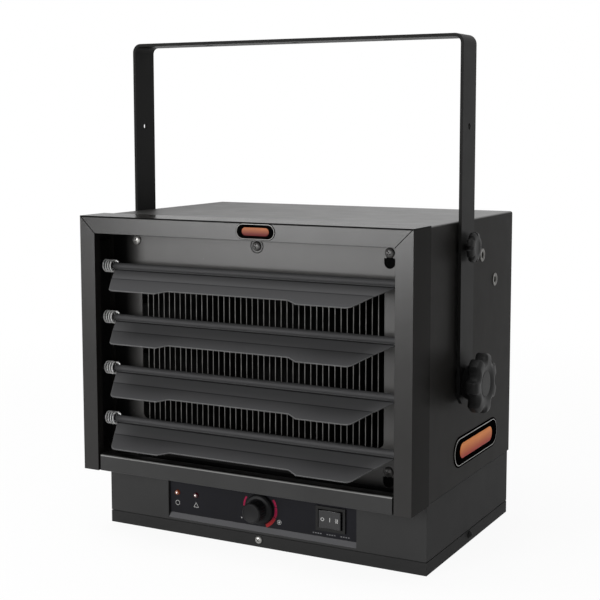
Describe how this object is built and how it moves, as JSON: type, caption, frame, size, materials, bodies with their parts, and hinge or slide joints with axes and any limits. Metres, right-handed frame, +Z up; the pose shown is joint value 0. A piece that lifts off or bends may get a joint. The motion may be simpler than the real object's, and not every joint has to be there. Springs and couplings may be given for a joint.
{
  "type": "garage heater",
  "caption": "Box-shaped electric garage heater with turning louvres, control base, fan and a strap bracket that tilts on hand knobs for ceiling or wall mounting.",
  "frame": {"origin": "on the ground under the middle of the control base's footprint", "axes": "+Z up, front with the louvres towards -Y, +X to the right seen from the front"},
  "size_m": [0.409, 0.2934, 0.493],
  "materials": {
    "charcoal_paint": "satin powder coat",
    "black_paint": "satin powder coat",
    "galvanised": "bare galvanised sheet",
    "zinc_steel": "bright zinc plate",
    "black_plastic": "moulded, fine grain",
    "black_gloss": "smooth moulded",
    "overlay_print": "printed film",
    "amber_lens": "clear tinted",
    "red_lens": "clear tinted",
    "rod_steel": "heat-dulled sheath",
    "fan_sheet": "pressed sheet",
    "motor_paint": "satin enamel",
    "white_plastic": "moulded"
  },
  "bodies": {
    "heater": {"bottom_pan": "charcoal_paint", "base_shell": "charcoal_paint", "cabinet_shell": "charcoal_paint", "rear_panel": "charcoal_paint", "front_baffle": "charcoal_paint", "bezel_frame": "charcoal_paint", "bezel_bottom_rail": "charcoal_paint", "louvre_rail_left": "charcoal_paint", "louvre_rail_right": "charcoal_paint", "rear_guard": "black_paint", "baffle_screws_black": "black_paint", "rear_screws": "black_paint", "guard_screws": "black_paint", "floor_plate": "galvanised", "outlet_guard": "galvanised", "slot_covers": "galvanised", "rod_plate_left": "galvanised", "rod_plate_right": "galvanised", "motor_mount": "galvanised", "fan_shroud": "galvanised", "louvre_springs": "zinc_steel", "louvre_bushes": "zinc_steel", "pivot_nuts": "zinc_steel", "rivet_nuts": "zinc_steel", "pan_screws": "zinc_steel", "baffle_screws_zinc": "zinc_steel", "limit_switch": "zinc_steel", "pivot_discs": "black_plastic", "thermostat_body": "black_plastic", "rocker_housing": "black_plastic", "cable_bush": "black_plastic", "contactor": "black_plastic", "front_badge": "black_gloss", "side_badge": "black_gloss", "control_overlay": "overlay_print", "power_lamp": "amber_lens", "fault_lamp": "red_lens", "heating_rod_1": "rod_steel", "heating_rod_2": "rod_steel", "heating_rod_3": "rod_steel", "fan_motor": "motor_paint", "terminal_block": "white_plastic"},
    "bracket": {"bracket": "black_paint"},
    "louvre_1": {"louvre_1": "charcoal_paint"},
    "louvre_2": {"louvre_2": "charcoal_paint"},
    "louvre_3": {"louvre_3": "charcoal_paint"},
    "louvre_4": {"louvre_4": "charcoal_paint"},
    "thermostat_dial": {"thermostat_shaft": "zinc_steel", "thermostat_knob": "black_plastic"},
    "rocker": {"rocker_button": "black_gloss"},
    "fan": {"fan_blade": "fan_sheet", "motor_shaft": "zinc_steel"},
    "pivot_slide_left": {"pivot_washer_left": "zinc_steel"},
    "pivot_slide_right": {"pivot_washer_right": "zinc_steel"},
    "pivot_knob_left": {"pivot_knob_left": "black_plastic"},
    "pivot_knob_right": {"pivot_knob_right": "black_plastic"},
    "lock_slide_left": {"lock_washer_left": "zinc_steel"},
    "lock_slide_right": {"lock_washer_right": "zinc_steel"},
    "lock_knob_left": {"lock_knob_left": "black_plastic"},
    "lock_knob_right": {"lock_knob_right": "black_plastic"}
  },
  "joints": [
    {"name": "bracket_tilt", "type": "hinge", "parent": "heater", "child": "bracket", "pos_m": [0, -0.034, 0.167], "axis": [-1, 0, 0], "range_deg": [0, 47]},
    {"name": "louvre_1_turn", "type": "hinge", "parent": "heater", "child": "louvre_1", "pos_m": [0, -0.1265, 0.2695], "axis": [-1, 0, 0], "range_deg": [-22, 38]},
    {"name": "louvre_2_turn", "type": "hinge", "parent": "heater", "child": "louvre_2", "pos_m": [0, -0.1265, 0.2179], "axis": [-1, 0, 0], "range_deg": [-22, 38]},
    {"name": "louvre_3_turn", "type": "hinge", "parent": "heater", "child": "louvre_3", "pos_m": [0, -0.1265, 0.1663], "axis": [-1, 0, 0], "range_deg": [-22, 38]},
    {"name": "louvre_4_turn", "type": "hinge", "parent": "heater", "child": "louvre_4", "pos_m": [0, -0.1265, 0.1147], "axis": [-1, 0, 0], "range_deg": [-22, 38]},
    {"name": "thermostat_turn", "type": "hinge", "parent": "heater", "child": "thermostat_dial", "pos_m": [0, -0.1087, 0.0377], "axis": [0, 1, 0], "range_deg": [0, 270]},
    {"name": "rocker_tip", "type": "hinge", "parent": "heater", "child": "rocker", "pos_m": [0.0772, -0.1038, 0.0383], "axis": [0, 0, 1], "range_deg": [-9, 9]},
    {"name": "fan_spin", "type": "hinge", "parent": "heater", "child": "fan", "pos_m": [0, 0.082, 0.1936], "axis": [0, 1, 0], "continuous": true},
    {"name": "pivot_slide_left", "type": "slide", "parent": "heater", "child": "pivot_slide_left", "axis": [-1, 0, 0], "range_m": [0, 0.003]},
    {"name": "pivot_knob_left_turn", "type": "hinge", "parent": "pivot_slide_left", "child": "pivot_knob_left", "pos_m": [-0.2, -0.034, 0.167], "axis": [-1, 0, 0], "range_deg": [0, 720]},
    {"name": "lock_slide_left", "type": "slide", "parent": "bracket", "child": "lock_slide_left", "axis": [1, 0, 0], "range_m": [0, 0.0025]},
    {"name": "lock_knob_left_turn", "type": "hinge", "parent": "lock_slide_left", "child": "lock_knob_left", "pos_m": [-0.19, -0.034, 0.2955], "axis": [1, 0, 0], "range_deg": [0, 720]},
    {"name": "pivot_slide_right", "type": "slide", "parent": "heater", "child": "pivot_slide_right", "axis": [1, 0, 0], "range_m": [0, 0.003]},
    {"name": "pivot_knob_right_turn", "type": "hinge", "parent": "pivot_slide_right", "child": "pivot_knob_right", "pos_m": [0.2, -0.034, 0.167], "axis": [1, 0, 0], "range_deg": [0, 720]},
    {"name": "lock_slide_right", "type": "slide", "parent": "bracket", "child": "lock_slide_right", "axis": [-1, 0, 0], "range_m": [0, 0.0025]},
    {"name": "lock_knob_right_turn", "type": "hinge", "parent": "lock_slide_right", "child": "lock_knob_right", "pos_m": [0.19, -0.034, 0.2955], "axis": [-1, 0, 0], "range_deg": [0, 720]}
  ],
  "couplings": [
    {"joint": "pivot_knob_left_turn", "follows": "pivot_slide_left", "rad_per_m": 4188},
    {"joint": "lock_knob_left_turn", "follows": "lock_slide_left", "rad_per_m": 5026},
    {"joint": "pivot_knob_right_turn", "follows": "pivot_slide_right", "rad_per_m": 4188},
    {"joint": "lock_knob_right_turn", "follows": "lock_slide_right", "rad_per_m": 5026}
  ]
}
